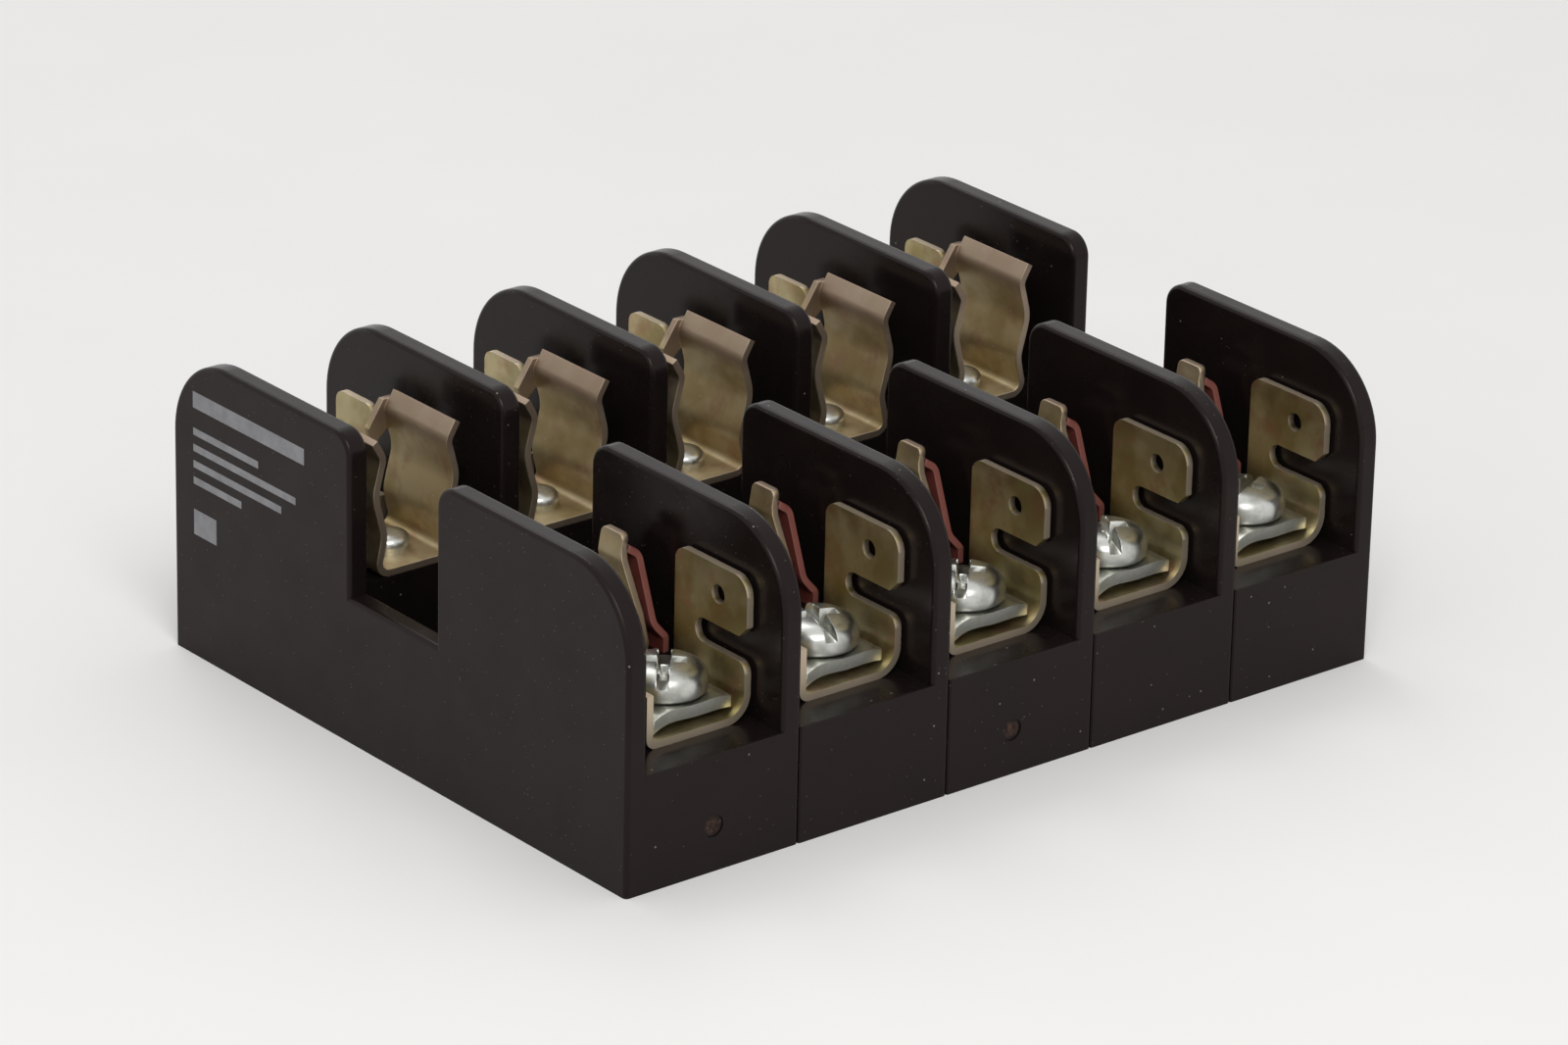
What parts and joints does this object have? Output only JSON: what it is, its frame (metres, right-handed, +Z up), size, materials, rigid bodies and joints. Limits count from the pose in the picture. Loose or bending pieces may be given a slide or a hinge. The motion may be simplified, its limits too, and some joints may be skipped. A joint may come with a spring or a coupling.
{
  "type": "fuse holder",
  "caption": "Open fuse block with black barriers between the poles, spring clips for small cartridge fuses, and screw terminals with push-on tabs at both ends.",
  "frame": {"origin": "middle of the underside", "axes": "+X along the row of poles, +Y from the front ends (with the rejection pieces) to the rear ends, +Z up from the mounting surface"},
  "size_m": [0.0976, 0.0762, 0.0332],
  "materials": {
    "black_moulding": "moulded phenolic, semi-gloss black",
    "terminal_plating": "plated sheet, dull yellow",
    "clip_plating": "plated spring sheet, dull yellow grey",
    "zinc_plate": "bright zinc",
    "zinc_screw": "bright zinc",
    "red_coating": "red coated sheet",
    "zinc_rivet": "bright zinc"
  },
  "bodies": {
    "root": {"pole_module_1": "black_moulding", "front_terminal_1": "terminal_plating", "rear_terminal_1": "terminal_plating", "front_clip_1": "clip_plating", "rear_clip_1": "clip_plating", "rejection_piece_1": "red_coating", "pole_module_2": "black_moulding", "front_terminal_2": "terminal_plating", "rear_terminal_2": "terminal_plating", "front_clip_2": "clip_plating", "rear_clip_2": "clip_plating", "rejection_piece_2": "red_coating", "pole_module_3": "black_moulding", "front_terminal_3": "terminal_plating", "rear_terminal_3": "terminal_plating", "front_clip_3": "clip_plating", "rear_clip_3": "clip_plating", "rejection_piece_3": "red_coating", "pole_module_4": "black_moulding", "front_terminal_4": "terminal_plating", "rear_terminal_4": "terminal_plating", "front_clip_4": "clip_plating", "rear_clip_4": "clip_plating", "rejection_piece_4": "red_coating", "pole_module_5": "black_moulding", "front_terminal_5": "terminal_plating", "rear_terminal_5": "terminal_plating", "front_clip_5": "clip_plating", "rear_clip_5": "clip_plating", "rejection_piece_5": "red_coating", "clip_rivets": "zinc_rivet"},
    "front_clamp_1": {"front_pressure_plate_1": "zinc_plate"},
    "front_driver_1": {"front_screw_1": "zinc_screw"},
    "rear_clamp_1": {"rear_pressure_plate_1": "zinc_plate"},
    "rear_driver_1": {"rear_screw_1": "zinc_screw"},
    "front_clamp_2": {"front_pressure_plate_2": "zinc_plate"},
    "front_driver_2": {"front_screw_2": "zinc_screw"},
    "rear_clamp_2": {"rear_pressure_plate_2": "zinc_plate"},
    "rear_driver_2": {"rear_screw_2": "zinc_screw"},
    "front_clamp_3": {"front_pressure_plate_3": "zinc_plate"},
    "front_driver_3": {"front_screw_3": "zinc_screw"},
    "rear_clamp_3": {"rear_pressure_plate_3": "zinc_plate"},
    "rear_driver_3": {"rear_screw_3": "zinc_screw"},
    "front_clamp_4": {"front_pressure_plate_4": "zinc_plate"},
    "front_driver_4": {"front_screw_4": "zinc_screw"},
    "rear_clamp_4": {"rear_pressure_plate_4": "zinc_plate"},
    "rear_driver_4": {"rear_screw_4": "zinc_screw"},
    "front_clamp_5": {"front_pressure_plate_5": "zinc_plate"},
    "front_driver_5": {"front_screw_5": "zinc_screw"},
    "rear_clamp_5": {"rear_pressure_plate_5": "zinc_plate"},
    "rear_driver_5": {"rear_screw_5": "zinc_screw"}
  },
  "joints": [
    {"name": "front_clamp_lift_1", "type": "slide", "parent": "root", "child": "front_clamp_1", "axis": [0, 0, 1], "range_m": [0, 0.00238]},
    {"name": "front_screw_turn_1", "type": "hinge", "parent": "front_clamp_1", "child": "front_driver_1", "pos_m": [-0.0366, -0.02807, 0.0155], "axis": [0, 0, 1], "range_deg": [0, 1080]},
    {"name": "rear_clamp_lift_1", "type": "slide", "parent": "root", "child": "rear_clamp_1", "axis": [0, 0, 1], "range_m": [0, 0.00238]},
    {"name": "rear_screw_turn_1", "type": "hinge", "parent": "rear_clamp_1", "child": "rear_driver_1", "pos_m": [-0.0396, 0.02807, 0.0155], "axis": [0, 0, 1], "range_deg": [0, 1080]},
    {"name": "front_clamp_lift_2", "type": "slide", "parent": "root", "child": "front_clamp_2", "axis": [0, 0, 1], "range_m": [0, 0.00238]},
    {"name": "front_screw_turn_2", "type": "hinge", "parent": "front_clamp_2", "child": "front_driver_2", "pos_m": [-0.01755, -0.02807, 0.0155], "axis": [0, 0, 1], "range_deg": [0, 1080]},
    {"name": "rear_clamp_lift_2", "type": "slide", "parent": "root", "child": "rear_clamp_2", "axis": [0, 0, 1], "range_m": [0, 0.00238]},
    {"name": "rear_screw_turn_2", "type": "hinge", "parent": "rear_clamp_2", "child": "rear_driver_2", "pos_m": [-0.02055, 0.02807, 0.0155], "axis": [0, 0, 1], "range_deg": [0, 1080]},
    {"name": "front_clamp_lift_3", "type": "slide", "parent": "root", "child": "front_clamp_3", "axis": [0, 0, 1], "range_m": [0, 0.00238]},
    {"name": "front_screw_turn_3", "type": "hinge", "parent": "front_clamp_3", "child": "front_driver_3", "pos_m": [0.0015, -0.02807, 0.0155], "axis": [0, 0, 1], "range_deg": [0, 1080]},
    {"name": "rear_clamp_lift_3", "type": "slide", "parent": "root", "child": "rear_clamp_3", "axis": [0, 0, 1], "range_m": [0, 0.00238]},
    {"name": "rear_screw_turn_3", "type": "hinge", "parent": "rear_clamp_3", "child": "rear_driver_3", "pos_m": [-0.0015, 0.02807, 0.0155], "axis": [0, 0, 1], "range_deg": [0, 1080]},
    {"name": "front_clamp_lift_4", "type": "slide", "parent": "root", "child": "front_clamp_4", "axis": [0, 0, 1], "range_m": [0, 0.00238]},
    {"name": "front_screw_turn_4", "type": "hinge", "parent": "front_clamp_4", "child": "front_driver_4", "pos_m": [0.02055, -0.02807, 0.0155], "axis": [0, 0, 1], "range_deg": [0, 1080]},
    {"name": "rear_clamp_lift_4", "type": "slide", "parent": "root", "child": "rear_clamp_4", "axis": [0, 0, 1], "range_m": [0, 0.00238]},
    {"name": "rear_screw_turn_4", "type": "hinge", "parent": "rear_clamp_4", "child": "rear_driver_4", "pos_m": [0.01755, 0.02807, 0.0155], "axis": [0, 0, 1], "range_deg": [0, 1080]},
    {"name": "front_clamp_lift_5", "type": "slide", "parent": "root", "child": "front_clamp_5", "axis": [0, 0, 1], "range_m": [0, 0.00238]},
    {"name": "front_screw_turn_5", "type": "hinge", "parent": "front_clamp_5", "child": "front_driver_5", "pos_m": [0.0396, -0.02807, 0.0155], "axis": [0, 0, 1], "range_deg": [0, 1080]},
    {"name": "rear_clamp_lift_5", "type": "slide", "parent": "root", "child": "rear_clamp_5", "axis": [0, 0, 1], "range_m": [0, 0.00238]},
    {"name": "rear_screw_turn_5", "type": "hinge", "parent": "rear_clamp_5", "child": "rear_driver_5", "pos_m": [0.0366, 0.02807, 0.0155], "axis": [0, 0, 1], "range_deg": [0, 1080]}
  ],
  "couplings": [
    {"joint": "front_screw_turn_1", "follows": "front_clamp_lift_1", "rad_per_m": 7915.8},
    {"joint": "rear_screw_turn_1", "follows": "rear_clamp_lift_1", "rad_per_m": 7915.8},
    {"joint": "front_screw_turn_2", "follows": "front_clamp_lift_2", "rad_per_m": 7915.8},
    {"joint": "rear_screw_turn_2", "follows": "rear_clamp_lift_2", "rad_per_m": 7915.8},
    {"joint": "front_screw_turn_3", "follows": "front_clamp_lift_3", "rad_per_m": 7915.8},
    {"joint": "rear_screw_turn_3", "follows": "rear_clamp_lift_3", "rad_per_m": 7915.8},
    {"joint": "front_screw_turn_4", "follows": "front_clamp_lift_4", "rad_per_m": 7915.8},
    {"joint": "rear_screw_turn_4", "follows": "rear_clamp_lift_4", "rad_per_m": 7915.8},
    {"joint": "front_screw_turn_5", "follows": "front_clamp_lift_5", "rad_per_m": 7915.8},
    {"joint": "rear_screw_turn_5", "follows": "rear_clamp_lift_5", "rad_per_m": 7915.8}
  ]
}
